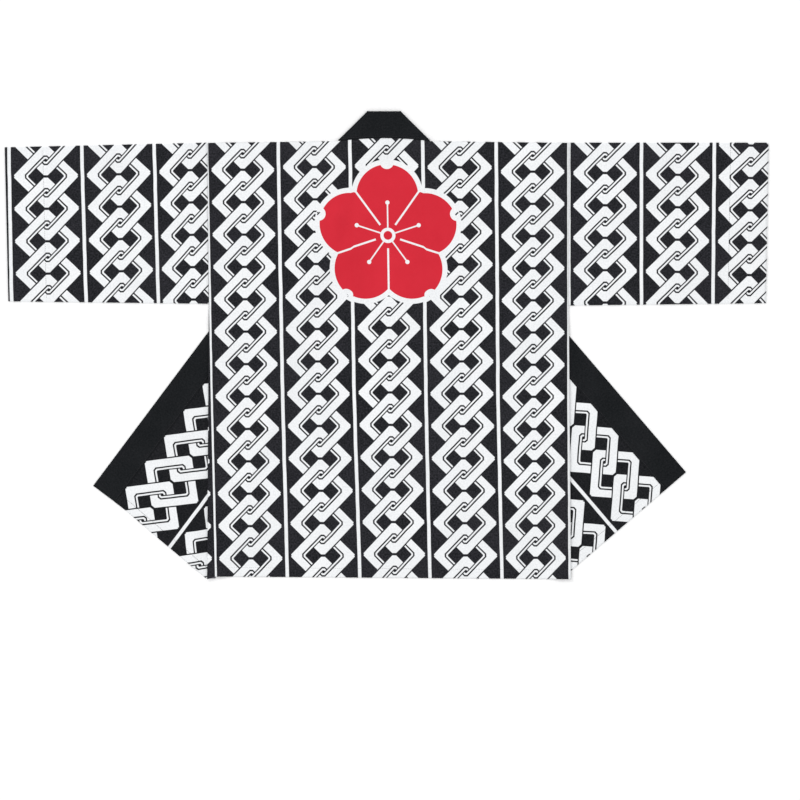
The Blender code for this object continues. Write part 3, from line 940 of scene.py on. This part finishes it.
# Collar
# One long band of plain black cotton, doubled and sewn over the raw edges of both fronts and
# the back neck. It is mitred at the neck, runs hidden under the back, and turns out with the
# fronts. A row of stitching holds it close to its seam.

collar_cotton, surface, start = new_material("collar_cotton")
flat = start.node("ShaderNodeUVMap", {"uv_map": "print"})
split = flat.node("ShaderNodeSeparateXYZ", None, {0: flat})
cloud = flat.noise(14.0, 4.0, 0.6)
mottle = flat.noise(350.0, 2.0)
fleck = flat.noise(700.0, 2.0, 0.7)
worn = (cloud * 0.3 + mottle * 0.45 + fleck * 0.25).above(0.52, 0.26)
drive(
    surface,
    Base_Color=worn.blend((0.0055, 0.0068, 0.0080), (0.0170, 0.0180, 0.0202)),
    Roughness=0.80 + (fleck - 0.5) * 0.14,
    Normal=cotton_relief(start, flat, split, Wire(split.tree, split.socket.node.outputs[1]), 1.2),
)
dull(surface)

shift = (TURN_RADIUS + COLLAR_WALL / 2) * math.sqrt(2)
low, middle, high = (COLLAR_WALL / 2 + i * FLARE_LIFT for i in range(3))
band_columns = round(COLLAR_WIDTH_FRONT / GRID)
hidden_rows, band_rows, neck_rows = 16, 150, 24
COLLAR_SHELL = COLLAR_WALL - 0.00004


def level_patch(flat, height, prints):
    full = np.broadcast_to(np.asarray(height, float), flat.shape[:2])[..., None]
    return np.concatenate((flat, full), axis=-1), prints


patches, mitres = [], {}
for name, side in SIDES.items():
    out = side["out"]
    begin, along, bulge = fold_of(side)
    seam_front = seam_x(side, COLLAR_WIDTH_FRONT - GAP / 2)
    crossing = begin + along * (seam_front - begin[0]) / along[0]
    fold = edge_line(begin, crossing, band_columns)
    seam_neck = seam_x(side, COLLAR_WIDTH_NECK) - out * shift
    free_neck = side["collar_edge_x"] - out * shift
    seam_end = (seam_neck, float(neckline_y(seam_neck)) + GAP / 2)
    mitre = edge_line((free_neck, COLLAR_TOP_Y), seam_end, band_columns)
    foot_y = side["front_hem_y"]
    end = edge_line((side["collar_edge_x"], foot_y), (seam_front, foot_y), band_columns)
    mitres[name] = mitre
    pieces = []
    hidden = ruled(mitre, fold, hidden_rows).transpose(1, 0, 2)
    pieces.append(level_patch(hidden, middle, hidden * out))
    strip = turn_strip(fold, bulge, low)
    around = (FOLD_STEPS + 1, band_columns + 1, 2)
    pieces.append((strip.transpose(1, 0, 2), np.broadcast_to(fold[None] * out, around)))
    long = ruled(fold, end, band_rows).transpose(1, 0, 2)
    shown = mirrored(side, long)
    ridge = flare_height(side, shown) - PANEL_WALL / 2
    pieces.append(level_patch(shown, low + ridge, long * out))
    corner = np.array((out, 1.0)) / math.sqrt(2)
    strip = turn_strip(mitre, corner, middle)
    pieces.append((strip.transpose(1, 0, 2)[::-1], np.broadcast_to(mitre[None] * out, around)))
    if out > 0:
        pieces = [(p[:, ::-1], q[:, ::-1]) for p, q in pieces]
    patches += pieces
share = np.linspace(0, 1, neck_rows + 1)[:, None]
left_mitre, right_mitre = mitres["left"], mitres["right"]
neck = left_mitre[None] + (right_mitre - left_mitre)[None] * share[..., None]
down = np.linspace(0, 1, band_columns + 1)[None, :]
neck[..., 1] = COLLAR_TOP_Y + down * (neckline_y(neck[..., 0]) + GAP / 2 - COLLAR_TOP_Y)
neck[0], neck[-1] = left_mitre, right_mitre
patches.append(level_patch(neck, high, neck))
collar = grid_mesh("collar_band", patches, COLLAR_SHELL, [collar_cotton])
shape = bmesh.new()
shape.from_mesh(collar.data)
bmesh.ops.recalc_face_normals(shape, faces=shape.faces)
shape.to_mesh(collar.data)
shape.free()
lines = []
for side in SIDES.values():
    y = np.linspace(side["turn_y"], side["front_hem_y"] + 0.002, COLLAR_LINE)
    lines += turned_out(side, seam_x(side, COLLAR_WIDTH_FRONT - SEAM_TUCK), y, COLLAR_WALL / 2)
x = np.linspace(left_mitre[-1][0] - 0.004, right_mitre[-1][0] + 0.004, NECK_LINE)
lines.append((x, neckline_y(x) + SEAM_TUCK, high + COLLAR_WALL / 2, UP))
stitches = sew("collar_stitches", lines)
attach(collar, "root")
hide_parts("collar")

boxes = {"cad": cad_box, "scene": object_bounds()}
boxes = {name: [list(map(float, corner)) for corner in box] for name, box in boxes.items()}
